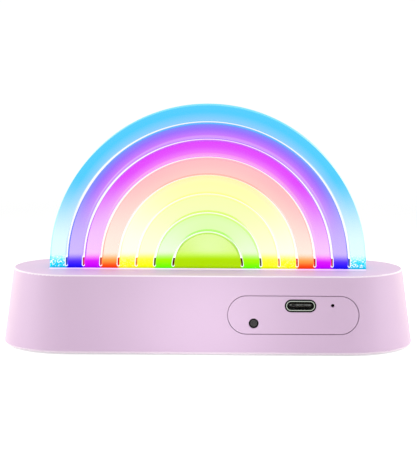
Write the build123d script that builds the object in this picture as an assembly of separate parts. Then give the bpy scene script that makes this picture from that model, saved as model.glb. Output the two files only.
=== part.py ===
from build123d import *
import math
import os

# A rechargeable rainbow night light. A clear acrylic rainbow, cut into arches by narrow slots,
# stands in a hollow base with sloping walls and round ends. +X is to the right as the port side
# is looked at, +Y away from it and +Z up. The origin is under the middle of the base, on the
# table that the rubber feet stand on. All sizes are in millimetres.

# Base: a block with straight sides and round ends, wider at the bottom than at the top
end_margin = 11.35
base_bottom_depth = 43.1
base_top_depth = 36.4
base_height = 24.0
top_edge_round = 0.6
bottom_edge_round = 1.2
shell_wall = 2.4
rim_wall = 1.7
top_wall = 2.2
foot_stand = 0.4

# How far a cut or a hidden overlap runs on past the face that it has to clear
overrun = 1.0

# Rainbow: a flat sheet whose slots part seven arches and a core
sheet_thickness = 6.0
rim_radius = 49.25
core_radius = 10.76
slot_count = 7
pitch_shrink = 0.1
slot_width = 0.7
slot_floor_height = 0.6
slot_leg_least = 0.1
stop_gap = 0.1
stop_height = 3.2
stop_set_back = 0.3
core_centre_height = 0.5
rim_centre_height = 1.7
tongue_depth = 7.6
lug_reach = 2.5
sheet_slot_clearance = 0.15

# Bottom cover, its screws and the feet
cover_recess = 0.4
cover_thickness = 2.4
cover_gap = 0.2
cover_screw_past_end = 3.1
cover_screw_inset = 6.0
cover_boss_radius = 3.0
foot_before_end = 8.4
foot_inset = 5.2
foot_radius = 4.0
foot_thickness = 1.6
foot_recess_gap = 0.1
foot_edge_round = 0.25

# Screws: a pan head with a cross recess on a plain shank
cover_screw_shank = 1.3
cover_screw_head = 2.4
cover_screw_head_height = 1.3
cover_screw_length = 9.0
small_screw_shank = 1.1
small_screw_head = 2.0
small_screw_head_height = 1.2
small_screw_length = 6.0
recess_arm = 0.45
recess_margin = 0.9
recess_depth = 0.7
small_boss_radius = 2.4
pilot_gap = 0.03
pilot_end_gap = 1.0
head_gap = 0.3
seat_web = 1.0

# Port panel, let in flush behind the lamp
panel_length = 39.9
panel_height = 11.35
panel_x = 26.55
panel_z = 12.2
panel_thickness = 1.4
panel_seam = 0.22
stake_radius = 0.8
stake_head_radius = 1.3
stake_head_height = 0.5
stake_gap = 0.05
stake_offsets = (-5.4, 14.6)
stake_drop = 3.4

# USB-C socket; this offset and those below are from the panel's middle
port_offset = 2.2
port_rise = 2.8
port_width = 8.94
port_height = 3.2
port_wall = 0.3
port_depth = 7.3
port_set_back = 0.15
port_leg_width = 0.5
port_leg_length = 1.0
port_leg_drop = 1.9
port_leg_insets = (0.8, 4.0)
port_leg_slack = 0.1
sleeve_wall = 0.32
sleeve_gap = 0.05
tongue_width = 6.7
tongue_thickness = 0.7
tongue_set_back = 0.9
port_block_depth = 1.8
contact_count = 12
contact_pitch = 0.5
contact_width = 0.25
contact_height = 0.08
contact_length = 3.4

# Push button and the switch behind it
button_offset = -12.08
button_radius = 1.475
button_gap = 0.05
button_set_back = 0.35
button_dish_radius = 1.0
button_dish_depth = 0.15
button_travel = 0.25
button_flange_radius = 2.0
button_flange_thickness = 0.7
button_flange_gap = 0.3
button_passage_gap = 0.25
plunger_radius = 1.2
plunger_length = 1.9
plunger_show = 0.9
switch_size = 4.3
switch_depth = 3.5
chamber_radius = 1.9
chamber_start = 0.8
plunger_end_gap = 0.05
dome_radius = 1.7
dome_rise = 0.3
dome_thickness = 0.1

# Microphone behind the pinhole
mic_offset = 12.0
mic_radius = 1.75
mic_length = 2.0
mic_wall_gap = 0.3
pinhole_radius = 0.55
sound_hole_radius = 1.0
felt_radius = 1.3
felt_thickness = 0.3

# Main board, lying behind the port panel
board_length = 32.0
board_depth = 11.2
board_thickness = 1.6
board_wall_gap = 0.3
board_screw_offsets = (-13.5, 13.1)
board_screw_inset = 8.9
hole_gap = 0.15

# Chips and small parts on the main board
chip_depth = 3.9
chip_height = 1.5
chip_lift = 0.15
controller_offset = -3.9
controller_length = 9.9
controller_legs = 8
charger_offset = 7.1
charger_length = 4.9
charger_legs = 4
chip_leg_pitch = 1.27
chip_leg_width = 0.42
chip_leg_reach = 1.0
chip_row_inset = 8.9
inductor_size = 4.0
inductor_height = 2.2
inductor_corner_round = 0.5
inductor_offset = -8.3
inductor_inset = 3.2
capacitor_length = 2.0
capacitor_depth = 1.25
capacitor_height = 0.9
capacitor_offsets = ((8.0, 3.6), (8.0, 5.4), (-12.9, 2.4), (-12.9, 4.4))

# Battery, its pad and its plug and socket
battery_length = 48.0
battery_width = 30.0
battery_thickness = 5.0
battery_board_gap = 2.9
battery_edge_round = 1.2
battery_seal_length = 2.5
battery_seal_thickness = 1.2
pad_length = 42.0
pad_width = 22.0
pad_thickness = 0.8
rib_height = 2.2
rib_thickness = 1.2
rib_gap = 0.3
rib_span = 12.0
socket_offset = -1.9
socket_length = 6.0
socket_width = 6.0
socket_height = 4.6
socket_inset = 8.3
plug_length = 6.4
plug_width = 4.4
plug_height = 3.2
plug_depth_in = 4.6
plug_gap = 0.1
lead_diameter = 1.3
lead_pitch = 2.0
lead_bend = 2.6

# Light bar under the sheet: holder, board, lamps and divider
divider_height = 2.4
divider_web = 0.8
divider_rail = 0.6
divider_gap = 0.05
strip_width = 6.0
strip_thickness = 1.2
strip_end_gap = 1.0
holder_wall = 1.5
holder_floor = 1.4
holder_gap = 0.2
ear_thickness = 2.0
ear_radius = 2.6
ear_offset = 2.7
lamp_length = 3.5
lamp_width = 2.8
lamp_height = 1.9
lens_radius = 1.2
lens_depth = 0.6
wire_diameter = 1.2
wire_offsets = (5.1, 7.1, 9.1)
wire_drop = 3.6
wire_bend = 1.7
wire_inset = 8.8
wire_window_gap = 0.9

# Heights and places that follow from the sizes above
base_straight = 2 * (rim_radius + end_margin) - base_top_depth
slope = (base_bottom_depth - base_top_depth) / 2 / base_height
rim_z = foot_stand
top_z = rim_z + base_height
ceiling_z = top_z - top_wall
cover_low_z = rim_z + cover_recess
cover_top_z = cover_low_z + cover_thickness
foot_top_z = foot_thickness
half_sheet = sheet_thickness / 2
tongue_low_z = top_z - tongue_depth
lug_x = rim_radius + lug_reach
strip_top_z = tongue_low_z - divider_height
strip_low_z = strip_top_z - strip_thickness
holder_low_z = strip_low_z - holder_floor
ear_top_z = holder_low_z + ear_thickness
trough_half_width = half_sheet + sheet_slot_clearance
trough_half_length = lug_x + holder_gap
end_ear_x = trough_half_length + holder_wall + ear_offset
side_ear_y = trough_half_width + holder_wall + ear_offset
cover_screw_x = base_straight / 2 + cover_screw_past_end
cover_screw_y = base_top_depth / 2 - cover_screw_inset
foot_x = base_straight / 2 - foot_before_end
foot_y = base_top_depth / 2 - foot_inset
panel_axis_z = rim_z + panel_z
stake_z = panel_axis_z - stake_drop
port_x = panel_x + port_offset
button_x = panel_x + button_offset
mic_x = panel_x + mic_offset
port_axis_z = panel_axis_z + port_rise
board_top_z = port_axis_z - port_height / 2
board_low_z = board_top_z - board_thickness
button_z = board_low_z - switch_size / 2
mic_z = board_top_z + mic_radius
lamp_top_z = strip_top_z + lamp_height
battery_low_z = cover_top_z + pad_thickness
battery_mid_z = battery_low_z + battery_thickness / 2
battery_x = panel_x - (board_length + battery_length) / 2 - battery_board_gap
socket_x = panel_x + socket_offset
socket_axis_z = board_low_z - socket_height / 2


def half_depth(z):
    """Half the base's outside depth at height z."""
    return base_bottom_depth / 2 - slope * (z - rim_z)


def wall_inside_y(z):
    """Where the port side's wall ends inside, at height z."""
    return shell_wall - half_depth(z)


board_front_y = wall_inside_y(board_top_z) + board_wall_gap
board_rear_y = board_front_y + board_depth
port_mouth_y = port_set_back - half_depth(port_axis_z)
flange_front_y = wall_inside_y(button_z + button_flange_radius) + button_flange_gap
flange_rear_y = flange_front_y + button_flange_thickness
switch_front_y = flange_rear_y + plunger_show
chamber_front_y = switch_front_y + chamber_start
plunger_rear_y = flange_rear_y + plunger_length
dome_base_y = plunger_rear_y + button_travel + plunger_end_gap + dome_rise
mic_front_y = wall_inside_y(mic_z + mic_radius) + mic_wall_gap
board_screw_y = board_front_y + board_screw_inset
socket_y = board_front_y + socket_inset
wire_end_y = board_front_y + wire_inset


def slot_radii():
    """Radii of the slots' middles, from the core outwards."""
    mean_pitch = (rim_radius - core_radius) / slot_count
    radii = [core_radius]
    for k in range(slot_count - 1):
        radii.append(radii[-1] + mean_pitch + ((slot_count - 1) / 2 - k) * pitch_shrink)
    return radii


def arch_centre_z(radius):
    """Height of an arch's centre: it rises a little from the core to the rim."""
    share = (radius - core_radius) / (rim_radius - core_radius)
    return top_z + core_centre_height + share * (rim_centre_height - core_centre_height)


def drafted_block(inset, low, high):
    """The base's outline between two heights, drawn in all round by inset."""
    sections = []
    for z in (low, high):
        outline = SlotCenterToCenter(base_straight, 2 * (half_depth(z) - inset))
        sections.append(Plane.XY.offset(z) * outline)
    return loft(sections, ruled=True)


def block(x, y, z):
    """A box from its low and high limits, each given as a pair."""
    size = [b - a for a, b in (x, y, z)]
    middle = [(a + b) / 2 for a, b in (x, y, z)]
    return Pos(*middle) * Box(*size)


def upright(x, y, radius, low, high):
    """A round bar that stands between two heights."""
    return Pos(x, y, (low + high) / 2) * Cylinder(radius, high - low)


def lying(x, z, radius, front, rear):
    """A round bar along Y between two depths."""
    return Pos(x, (front + rear) / 2, z) * Rot(90, 0, 0) * Cylinder(radius, rear - front)


def flat_slot(x, z, width, height, front, rear):
    """A bar along Y whose section has round ends, between two depths."""
    face = SlotOverall(width, height)
    return Pos(x, rear, z) * Rot(90, 0, 0) * extrude(face, rear - front)


def mirrored_places(x, y):
    """The four places at plus and minus x and y."""
    return [(sx * x, sy * y) for sx in (-1, 1) for sy in (-1, 1)]


def ear_places():
    """Where the light bar's holder is screwed up: at both ends and both sides."""
    return [(-end_ear_x, 0), (end_ear_x, 0), (0, -side_ear_y), (0, side_ear_y)]


def board_screw_spots():
    """Where the main board is screwed up."""
    return [(panel_x + offset, board_screw_y) for offset in board_screw_offsets]


def pan_screw(x, y, seat_z, shank, length, head, head_height):
    """A screw driven upwards whose head seats at seat_z."""
    screw = upright(x, y, shank, seat_z - head_height / 2, seat_z + length)
    screw += upright(x, y, head, seat_z - head_height, seat_z)
    low = seat_z - head_height
    long = head - recess_margin
    for dx, dy in ((long, recess_arm / 2), (recess_arm / 2, long)):
        screw -= block((x - dx, x + dx), (y - dy, y + dy), (low, low + recess_depth))
    return screw


def cover_seat_z():
    """Where the cover screws' heads bear on the cover."""
    return cover_top_z - seat_web


def panel_region(grow):
    """The port panel's outline as a bar through the wall, grown all round by grow."""
    width = panel_length + 2 * grow
    height = panel_height + 2 * grow
    return flat_slot(panel_x, panel_axis_z, width, height, -base_bottom_depth, 0)


def sleeve_outline(grow, front, rear):
    """The socket sleeve's outline as a bar along Y, grown all round by grow."""
    width = port_width + 2 * (sleeve_wall + grow)
    height = port_height + 2 * (sleeve_wall + grow)
    return flat_slot(port_x, port_axis_z, width, height, front, rear)


def make_base_shell():
    """Hollow base, open below, with bosses, the sheet's slot and the panel's recess."""
    outer = drafted_block(0, rim_z, top_z)
    outer = fillet(outer.edges().group_by(Axis.Z)[-1], top_edge_round)
    outer = fillet(outer.edges().group_by(Axis.Z)[0], bottom_edge_round)
    shell = outer - drafted_block(shell_wall, rim_z - overrun, ceiling_z)
    for x, y in mirrored_places(cover_screw_x, cover_screw_y):
        shell += upright(x, y, cover_boss_radius, cover_top_z, ceiling_z)
        pilot_top = cover_seat_z() + cover_screw_length + pilot_end_gap
        shell -= upright(x, y, cover_screw_shank + pilot_gap, rim_z, pilot_top)
    for places, low in ((ear_places(), ear_top_z), (board_screw_spots(), board_top_z)):
        for x, y in places:
            shell += upright(x, y, small_boss_radius, low, ceiling_z)
            pilot_top = low + small_screw_length
            shell -= upright(x, y, small_screw_shank + pilot_gap, low - overrun, pilot_top)
    shell -= drafted_block(rim_wall, rim_z - overrun, cover_top_z)
    half_x = rim_radius + sheet_slot_clearance
    half_y = trough_half_width
    shell -= block((-half_x, half_x), (-half_y, half_y), (ceiling_z - overrun, top_z + overrun))
    recess_block = drafted_block(-overrun, rim_z, top_z) - drafted_block(panel_thickness, rim_z, top_z)
    shell -= recess_block & panel_region(panel_seam)
    front, rear = -base_bottom_depth / 2, wall_inside_y(ceiling_z)
    shell -= sleeve_outline(sleeve_gap, front, rear)
    passage = button_radius + button_passage_gap
    shell -= lying(button_x, button_z, passage, front, rear)
    shell -= lying(mic_x, mic_z, sound_hole_radius, front, rear)
    for offset in stake_offsets:
        shell -= lying(panel_x + offset, stake_z, stake_radius + stake_gap, front, rear)
    return shell


def make_port_panel():
    """Flush panel with the socket's cut-out, the button's hole, a pinhole and two stakes."""
    slab = drafted_block(0, rim_z, top_z) - drafted_block(panel_thickness, rim_z, top_z)
    panel = slab & panel_region(0)
    head_front = wall_inside_y(stake_z + stake_head_radius)
    head_rear = head_front + stake_head_height
    for offset in stake_offsets:
        x = panel_x + offset
        panel += lying(x, stake_z, stake_radius, panel_thickness / 2 - half_depth(stake_z), head_rear)
        head = lying(x, stake_z, stake_head_radius, head_front - overrun, head_rear)
        panel += head & drafted_block(shell_wall, rim_z, top_z)
    front = -base_bottom_depth / 2
    panel -= sleeve_outline(sleeve_gap, front, 0)
    panel -= lying(button_x, button_z, button_radius + button_gap, front, 0)
    panel -= lying(mic_x, mic_z, pinhole_radius, front, 0)
    return panel


def make_bottom_cover():
    """Inset floor of the base with screw holes, recesses for the feet and battery ribs."""
    cover = drafted_block(rim_wall + cover_gap, cover_low_z, cover_top_z)
    for x, y in mirrored_places(cover_screw_x, cover_screw_y):
        cover -= upright(x, y, cover_screw_head + head_gap, cover_low_z, cover_seat_z())
        cover -= upright(x, y, cover_screw_shank + hole_gap, cover_low_z, cover_top_z)
    for x, y in mirrored_places(foot_x, foot_y):
        cover -= upright(x, y, foot_radius + foot_recess_gap, cover_low_z, foot_top_z)
    heights = (cover_top_z, cover_top_z + rib_height)
    for side in (-1, 1):
        y = side * (battery_width / 2 + rib_gap + rib_thickness / 2)
        for end in (-1, 1):
            x = battery_x + end * (battery_length / 2 - rib_span)
            cover += block((x - rib_span / 2, x + rib_span / 2),
                           (y - rib_thickness / 2, y + rib_thickness / 2), heights)
        x = battery_x + side * (battery_length / 2 + rib_gap + rib_thickness / 2)
        cover += block((x - rib_thickness / 2, x + rib_thickness / 2), (-rib_span / 2, rib_span / 2), heights)
    return cover


def make_cover_screws():
    """Four screws that hold the bottom cover."""
    return [pan_screw(x, y, cover_seat_z(), cover_screw_shank, cover_screw_length, cover_screw_head,
                      cover_screw_head_height) for x, y in mirrored_places(cover_screw_x, cover_screw_y)]


def make_small_screws(places, seat_z):
    """Small screws driven upwards at the given places."""
    return [pan_screw(x, y, seat_z, small_screw_shank, small_screw_length, small_screw_head,
                      small_screw_head_height) for x, y in places]


def make_rubber_feet():
    """Four round feet whose lower edges are rounded."""
    feet = []
    for x, y in mirrored_places(foot_x, foot_y):
        foot = upright(x, y, foot_radius, 0, foot_top_z)
        feet.append(fillet(foot.edges().group_by(Axis.Z)[0], foot_edge_round))
    return feet


def arch_face(radius, foot_z):
    """Half disc on two straight legs that end at foot_z."""
    centre = arch_centre_z(radius)
    legs = Polyline((-radius, centre), (-radius, foot_z), (radius, foot_z), (radius, centre))
    crown = ThreePointArc((radius, centre), (0, centre + radius), (-radius, centre))
    return make_face([legs, crown])


def slot_face(radius, half):
    """One narrow arched slot, half wide to each side, whose two ends are round."""
    centre = arch_centre_z(radius)
    end = top_z + slot_floor_height + slot_width / 2
    spring = max(centre, end + slot_leg_least)
    wide, slim = radius + half, radius - half
    outline = [
        Line((wide, end), (wide, spring)),
        ThreePointArc((wide, spring), (0, centre + wide), (-wide, spring)),
        Line((-wide, spring), (-wide, end)),
        ThreePointArc((-wide, end), (-radius, end - half), (-slim, end)),
        Line((-slim, end), (-slim, spring)),
        ThreePointArc((-slim, spring), (0, centre + slim), (slim, spring)),
        Line((slim, spring), (slim, end)),
        ThreePointArc((slim, end), (radius, end - half), (wide, end)),
    ]
    return make_face(outline)


def make_rainbow_plate():
    """Clear sheet: the slotted half disc above, and a tongue with lugs inside the base."""
    lugs_height = ceiling_z - tongue_low_z
    outline = arch_face(rim_radius, tongue_low_z)
    outline += Pos(0, tongue_low_z + lugs_height / 2) * Rectangle(2 * lug_x, lugs_height)
    for radius in slot_radii():
        outline -= slot_face(radius, slot_width / 2)
    return extrude(Plane.XZ * outline, half_sheet, both=True)


def make_slot_stops():
    """Dark blades in both feet of every slot, which follow the slot and keep the colours apart."""
    feet = Pos(0, top_z + stop_height / 2) * Rectangle(2 * rim_radius, stop_height)
    stops = []
    for radius in slot_radii():
        blades = feet & slot_face(radius, slot_width / 2 - stop_gap)
        stops += extrude(Plane.XZ * blades, half_sheet - stop_set_back, both=True).solids()
    return stops


def make_light_holder():
    """Trough that carries the light bar and clamps the sheet's tongue to the ceiling."""
    reach_x = trough_half_length + holder_wall
    reach_y = trough_half_width + holder_wall
    holder = block((-reach_x, reach_x), (-reach_y, reach_y), (holder_low_z, ceiling_z))
    holder -= block((-trough_half_length, trough_half_length), (-trough_half_width, trough_half_width),
                    (strip_low_z, ceiling_z))
    for x, y in ear_places():
        ear = upright(x, y, ear_radius, holder_low_z, ear_top_z)
        arm_x = sorted((math.copysign(reach_x, x), x)) if x else (-ear_radius, ear_radius)
        arm_y = sorted((math.copysign(reach_y, y), y)) if y else (-ear_radius, ear_radius)
        ear += block(arm_x, arm_y, (holder_low_z, ear_top_z))
        holder += ear - upright(x, y, small_screw_shank + hole_gap, holder_low_z, ear_top_z)
    window_y = wire_diameter / 2 + wire_window_gap
    window_x = (panel_x + wire_offsets[0] - window_y, panel_x + wire_offsets[-1] + window_y)
    return holder - block(window_x, (-window_y, window_y), (holder_low_z, strip_low_z))


def lamp_places():
    """Lamps stand under the middle of every arch's two feet, and two under the core."""
    edges = slot_radii() + [rim_radius]
    middles = [(a + b) / 2 for a, b in zip(edges, edges[1:])]
    return sorted([side * x for x in [core_radius / 2] + middles for side in (-1, 1)])


def make_led_strip_board():
    """Long narrow board in the trough's floor."""
    half_x = trough_half_length - strip_end_gap
    return block((-half_x, half_x), (-strip_width / 2, strip_width / 2), (strip_low_z, strip_top_z))


def make_led_packages():
    """One square lamp body for each foot, hollowed for its lens."""
    bodies = []
    for x in lamp_places():
        body = block((x - lamp_length / 2, x + lamp_length / 2), (-lamp_width / 2, lamp_width / 2),
                     (strip_top_z, lamp_top_z))
        bodies.append(body - upright(x, 0, lens_radius, lamp_top_z - lens_depth, lamp_top_z))
    return bodies


def make_led_lenses():
    """Clear resin that fills each lamp's hollow."""
    return [upright(x, 0, lens_radius, lamp_top_z - lens_depth, lamp_top_z) for x in lamp_places()]


def make_light_divider():
    """Comb between board and sheet that keeps each arch's light to its own foot."""
    half_x = trough_half_length - strip_end_gap
    half_y = trough_half_width - divider_gap
    heights = (strip_top_z, tongue_low_z)
    comb = block((-half_x, half_x), (-half_y, half_y), heights)
    edges = sorted([side * r for r in slot_radii() + [half_x] for side in (-1, 1)])
    inner_y = half_y - divider_rail
    for left, right in zip(edges, edges[1:]):
        low = left + (divider_web if left == -half_x else divider_web / 2)
        high = right - (divider_web if right == half_x else divider_web / 2)
        comb -= block((low, high), (-inner_y, inner_y), heights)
    return comb


def make_usb_shell():
    """Thin metal tube of the socket on four legs through the board."""
    rear = port_mouth_y + port_depth
    shell = flat_slot(port_x, port_axis_z, port_width, port_height, port_mouth_y, rear)
    inner = (port_width - 2 * port_wall, port_height - 2 * port_wall)
    shell -= flat_slot(port_x, port_axis_z, *inner, port_mouth_y, rear)
    for x, y in port_leg_spots():
        shell += block((x - port_leg_width / 2, x + port_leg_width / 2),
                       (y - port_leg_length / 2, y + port_leg_length / 2),
                       (board_top_z - port_leg_drop, port_axis_z))
        shell -= flat_slot(port_x, port_axis_z, *inner, port_mouth_y, rear)
    return shell


def port_leg_spots():
    """Where the socket's four legs go through the board."""
    reach = port_width / 2 - port_leg_width / 2
    return [(port_x + side * reach, board_front_y + inset) for side in (-1, 1) for inset in port_leg_insets]


def make_usb_tongue():
    """Black tongue in the socket and the block that closes its rear."""
    rear = port_mouth_y + port_depth
    inner = (port_width - 2 * port_wall, port_height - 2 * port_wall)
    block_front = rear - port_block_depth
    body = flat_slot(port_x, port_axis_z, *inner, block_front, rear)
    return body + block((port_x - tongue_width / 2, port_x + tongue_width / 2),
                        (port_mouth_y + tongue_set_back, block_front),
                        (port_axis_z - tongue_thickness / 2, port_axis_z + tongue_thickness / 2))


def make_usb_contacts():
    """Two rows of contact strips on the tongue's faces."""
    front = port_mouth_y + tongue_set_back + contact_width
    strips = []
    for side in (-1, 1):
        face = port_axis_z + side * tongue_thickness / 2
        heights = sorted((face, face + side * contact_height))
        for k in range(contact_count):
            x = port_x + (k - (contact_count - 1) / 2) * contact_pitch
            strips.append(block((x - contact_width / 2, x + contact_width / 2),
                                (front, front + contact_length), heights))
    return strips


def make_port_sleeve():
    """Black sleeve round the socket's mouth, in front of the board's edge."""
    rear = board_front_y - sleeve_gap
    sleeve = sleeve_outline(0, port_mouth_y, rear)
    return sleeve - flat_slot(port_x, port_axis_z, port_width, port_height, port_mouth_y, rear)


def make_button_cap():
    """Small black push button with a shallow dish, and a flange that keeps it in."""
    face_y = button_set_back - half_depth(button_z)
    cap = lying(button_x, button_z, button_radius, face_y, flange_rear_y)
    cap += lying(button_x, button_z, button_flange_radius, flange_front_y, flange_rear_y)
    return cap - lying(button_x, button_z, button_dish_radius, face_y, face_y + button_dish_depth)


def make_switch_plunger():
    """Short pin between the button and the switch's dome."""
    return lying(button_x, button_z, plunger_radius, flange_rear_y, plunger_rear_y)


def make_switch_body():
    """Side-acting switch under the board, with the plunger's bore and the dome's chamber."""
    half = switch_size / 2
    body = block((button_x - half, button_x + half), (switch_front_y, switch_front_y + switch_depth),
                 (button_z - half, board_low_z))
    body -= lying(button_x, button_z, plunger_radius + button_gap, switch_front_y, chamber_front_y)
    return body - lying(button_x, button_z, chamber_radius, chamber_front_y, dome_base_y)


def make_switch_dome():
    """Thin snap dome on the chamber's floor, bulging towards the plunger."""
    sphere_radius = (dome_radius ** 2 + dome_rise ** 2) / (2 * dome_rise)
    centre_y = dome_base_y - dome_rise + sphere_radius
    shell = Sphere(sphere_radius) - Sphere(sphere_radius - dome_thickness)
    return (Pos(button_x, centre_y, button_z) * shell) & lying(
        button_x, button_z, dome_radius, dome_base_y - dome_rise - overrun, dome_base_y)


def make_microphone():
    """Round capsule that lies on the board behind the pinhole."""
    return lying(mic_x, mic_z, mic_radius, mic_front_y, mic_front_y + mic_length)


def make_mic_felt():
    """Black felt disc on the capsule's face."""
    return lying(mic_x, mic_z, felt_radius, mic_front_y - felt_thickness, mic_front_y)


def make_main_board():
    """Board with its screw holes and the socket's leg slots."""
    half = board_length / 2
    board = block((panel_x - half, panel_x + half), (board_front_y, board_rear_y), (board_low_z, board_top_z))
    for x, y in board_screw_spots():
        board -= upright(x, y, small_screw_shank + hole_gap, board_low_z, board_top_z)
    grow_x = port_leg_width / 2 + port_leg_slack
    grow_y = port_leg_length / 2 + port_leg_slack
    for x, y in port_leg_spots():
        board -= block((x - grow_x, x + grow_x), (y - grow_y, y + grow_y), (board_low_z, board_top_z))
    return board


def flat_chip(x, length, legs):
    """Chip body with a row of bent legs along both long sides."""
    y = board_front_y + chip_row_inset
    low = board_top_z + chip_lift
    chip = block((x - length / 2, x + length / 2), (y - chip_depth / 2, y + chip_depth / 2),
                 (low, low + chip_height))
    for side in (-1, 1):
        inner_y = y + side * chip_depth / 2
        toe_y = inner_y + side * chip_leg_reach
        for k in range(legs):
            leg_x = x + (k - (legs - 1) / 2) * chip_leg_pitch
            across = (leg_x - chip_leg_width / 2, leg_x + chip_leg_width / 2)
            chip += block(across, sorted((inner_y, inner_y + side * chip_lift * 2)),
                          (board_top_z, low + chip_height / 2))
            chip += block(across, sorted((inner_y, toe_y)), (board_top_z, board_top_z + chip_lift))
    return chip


def make_control_chips():
    """The light controller and the battery charger."""
    return [flat_chip(panel_x + controller_offset, controller_length, controller_legs),
            flat_chip(panel_x + charger_offset, charger_length, charger_legs)]


def make_board_components():
    """Power inductor and capacitors on the board's top."""
    y = board_front_y + inductor_inset
    half = inductor_size / 2
    inductor_x = panel_x + inductor_offset
    inductor = block((inductor_x - half, inductor_x + half), (y - half, y + half),
                     (board_top_z, board_top_z + inductor_height))
    parts = [fillet(inductor.edges().filter_by(Axis.Z), inductor_corner_round)]
    for offset, inset in capacitor_offsets:
        x, y = panel_x + offset, board_front_y + inset
        parts.append(block((x - capacitor_length / 2, x + capacitor_length / 2),
                           (y - capacitor_depth / 2, y + capacitor_depth / 2),
                           (board_top_z, board_top_z + capacitor_height)))
    return parts


def make_battery():
    """Flat pouch cell with a thin sealed strip at the end where its leads come out."""
    end = battery_x + battery_length / 2
    body = block((battery_x - battery_length / 2, end - battery_seal_length),
                 (-battery_width / 2, battery_width / 2),
                 (battery_low_z, battery_low_z + battery_thickness))
    body = fillet(body.edges().filter_by(Axis.X), battery_edge_round)
    half_width = battery_width / 2 - battery_edge_round
    half_seal = battery_seal_thickness / 2
    return body + block((end - battery_seal_length - overrun, end), (-half_width, half_width),
                        (battery_mid_z - half_seal, battery_mid_z + half_seal))


def make_battery_pad():
    """Foam pad that sticks the battery to the cover."""
    return block((battery_x - pad_length / 2, battery_x + pad_length / 2), (-pad_width / 2, pad_width / 2),
                 (cover_top_z, battery_low_z))


def plug_block(grow, left, right):
    """The battery plug's outline between two places along X, grown by grow."""
    half_y = plug_width / 2 + grow
    half_z = plug_height / 2 + grow
    return block((left, right), (socket_y - half_y, socket_y + half_y),
                 (socket_axis_z - half_z, socket_axis_z + half_z))


def make_battery_socket():
    """Socket under the board, open towards the battery."""
    left = socket_x - socket_length / 2
    body = block((left, left + socket_length), (socket_y - socket_width / 2, socket_y + socket_width / 2),
                 (board_low_z - socket_height, board_low_z))
    return body - plug_block(plug_gap, left, left + plug_depth_in)


def make_battery_plug():
    """Plug on the battery's leads, pushed home in the socket."""
    right = socket_x - socket_length / 2 + plug_depth_in
    return plug_block(0, right - plug_length, right)


def round_lead(points, diameter, bend):
    """A lead of straight runs and round bends through the given points."""
    path = FilletPolyline(*points, radius=bend)
    return sweep(Plane(origin=path @ 0, z_dir=path % 0) * Circle(diameter / 2), path=path)


def battery_lead(side):
    """Lead from the battery's end up to the rear of its plug."""
    y = socket_y + side * lead_pitch / 2
    start = battery_x + battery_length / 2
    end = socket_x - socket_length / 2 + plug_depth_in - plug_length
    rise = (end - start) / 3
    points = [(start, y, battery_mid_z), (start + rise, y, battery_mid_z),
              (end - rise, y, socket_axis_z), (end, y, socket_axis_z)]
    return round_lead(points, lead_diameter, lead_bend)


def make_led_wires():
    """Three wires from the light bar's board, through the holder's window, to the main board."""
    low = strip_low_z - wire_drop
    wires = []
    for offset in wire_offsets:
        x = panel_x + offset
        points = [(x, 0, strip_low_z), (x, 0, low), (x, wire_end_y, low), (x, wire_end_y, board_low_z)]
        wires.append(round_lead(points, wire_diameter, wire_bend))
    return wires


def save(node, shape):
    """Write one piece, or a list of like pieces, under its own name."""
    if isinstance(shape, list):
        shape = Compound(children=shape)
    shape.label = node
    export_step(shape, f"parts/{node}.step")


nodes = {
    "base_shell": make_base_shell(),
    "port_panel": make_port_panel(),
    "bottom_cover": make_bottom_cover(),
    "cover_screws": make_cover_screws(),
    "rubber_feet": make_rubber_feet(),
    "rainbow_plate": make_rainbow_plate(),
    "slot_stops": make_slot_stops(),
    "light_holder": make_light_holder(),
    "holder_screws": make_small_screws(ear_places(), holder_low_z),
    "light_divider": make_light_divider(),
    "led_strip_board": make_led_strip_board(),
    "led_packages": make_led_packages(),
    "led_lenses": make_led_lenses(),
    "led_wires": make_led_wires(),
    "main_board": make_main_board(),
    "board_screws": make_small_screws(board_screw_spots(), board_low_z),
    "control_chips": make_control_chips(),
    "board_components": make_board_components(),
    "usb_shell": make_usb_shell(),
    "usb_tongue": make_usb_tongue(),
    "usb_contacts": make_usb_contacts(),
    "port_sleeve": make_port_sleeve(),
    "switch_body": make_switch_body(),
    "switch_dome": make_switch_dome(),
    "switch_plunger": make_switch_plunger(),
    "button_cap": make_button_cap(),
    "microphone": make_microphone(),
    "mic_felt": make_mic_felt(),
    "battery": make_battery(),
    "battery_pad": make_battery_pad(),
    "battery_socket": make_battery_socket(),
    "battery_plug": make_battery_plug(),
    "battery_lead_positive": battery_lead(1),
    "battery_lead_negative": battery_lead(-1),
}

os.makedirs("parts", exist_ok=True)
for name, piece in nodes.items():
    save(name, piece)
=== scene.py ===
import logging
import math
from dataclasses import dataclass, field, replace
from enum import Enum
from typing import Any, ClassVar

import bmesh
import bpy
from mathutils import Matrix, Vector


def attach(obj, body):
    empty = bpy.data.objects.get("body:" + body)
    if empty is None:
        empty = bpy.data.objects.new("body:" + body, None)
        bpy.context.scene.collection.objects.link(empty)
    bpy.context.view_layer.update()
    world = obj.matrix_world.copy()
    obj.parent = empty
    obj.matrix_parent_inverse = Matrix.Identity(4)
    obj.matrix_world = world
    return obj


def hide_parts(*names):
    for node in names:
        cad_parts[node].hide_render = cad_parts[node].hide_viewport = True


# A rechargeable rainbow night light: a clear acrylic rainbow, lit from its feet, in a lilac base.
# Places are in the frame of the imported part; +X is to the right as the port side is looked at.

MM = 0.001
WELD_MM = 0.002
BLACK, WHITE = "#000000", "#FFFFFF"
# Sockets of a Mix node that mixes colours, and the setting of a Map Range node that eases both ends.
FACTOR, FIRST, SECOND, MIXED = 0, 6, 7, 2
SMOOTH = {"interpolation_type": "SMOOTHSTEP"}
LOG = logging.getLogger("rainbow_night_light")

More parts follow.
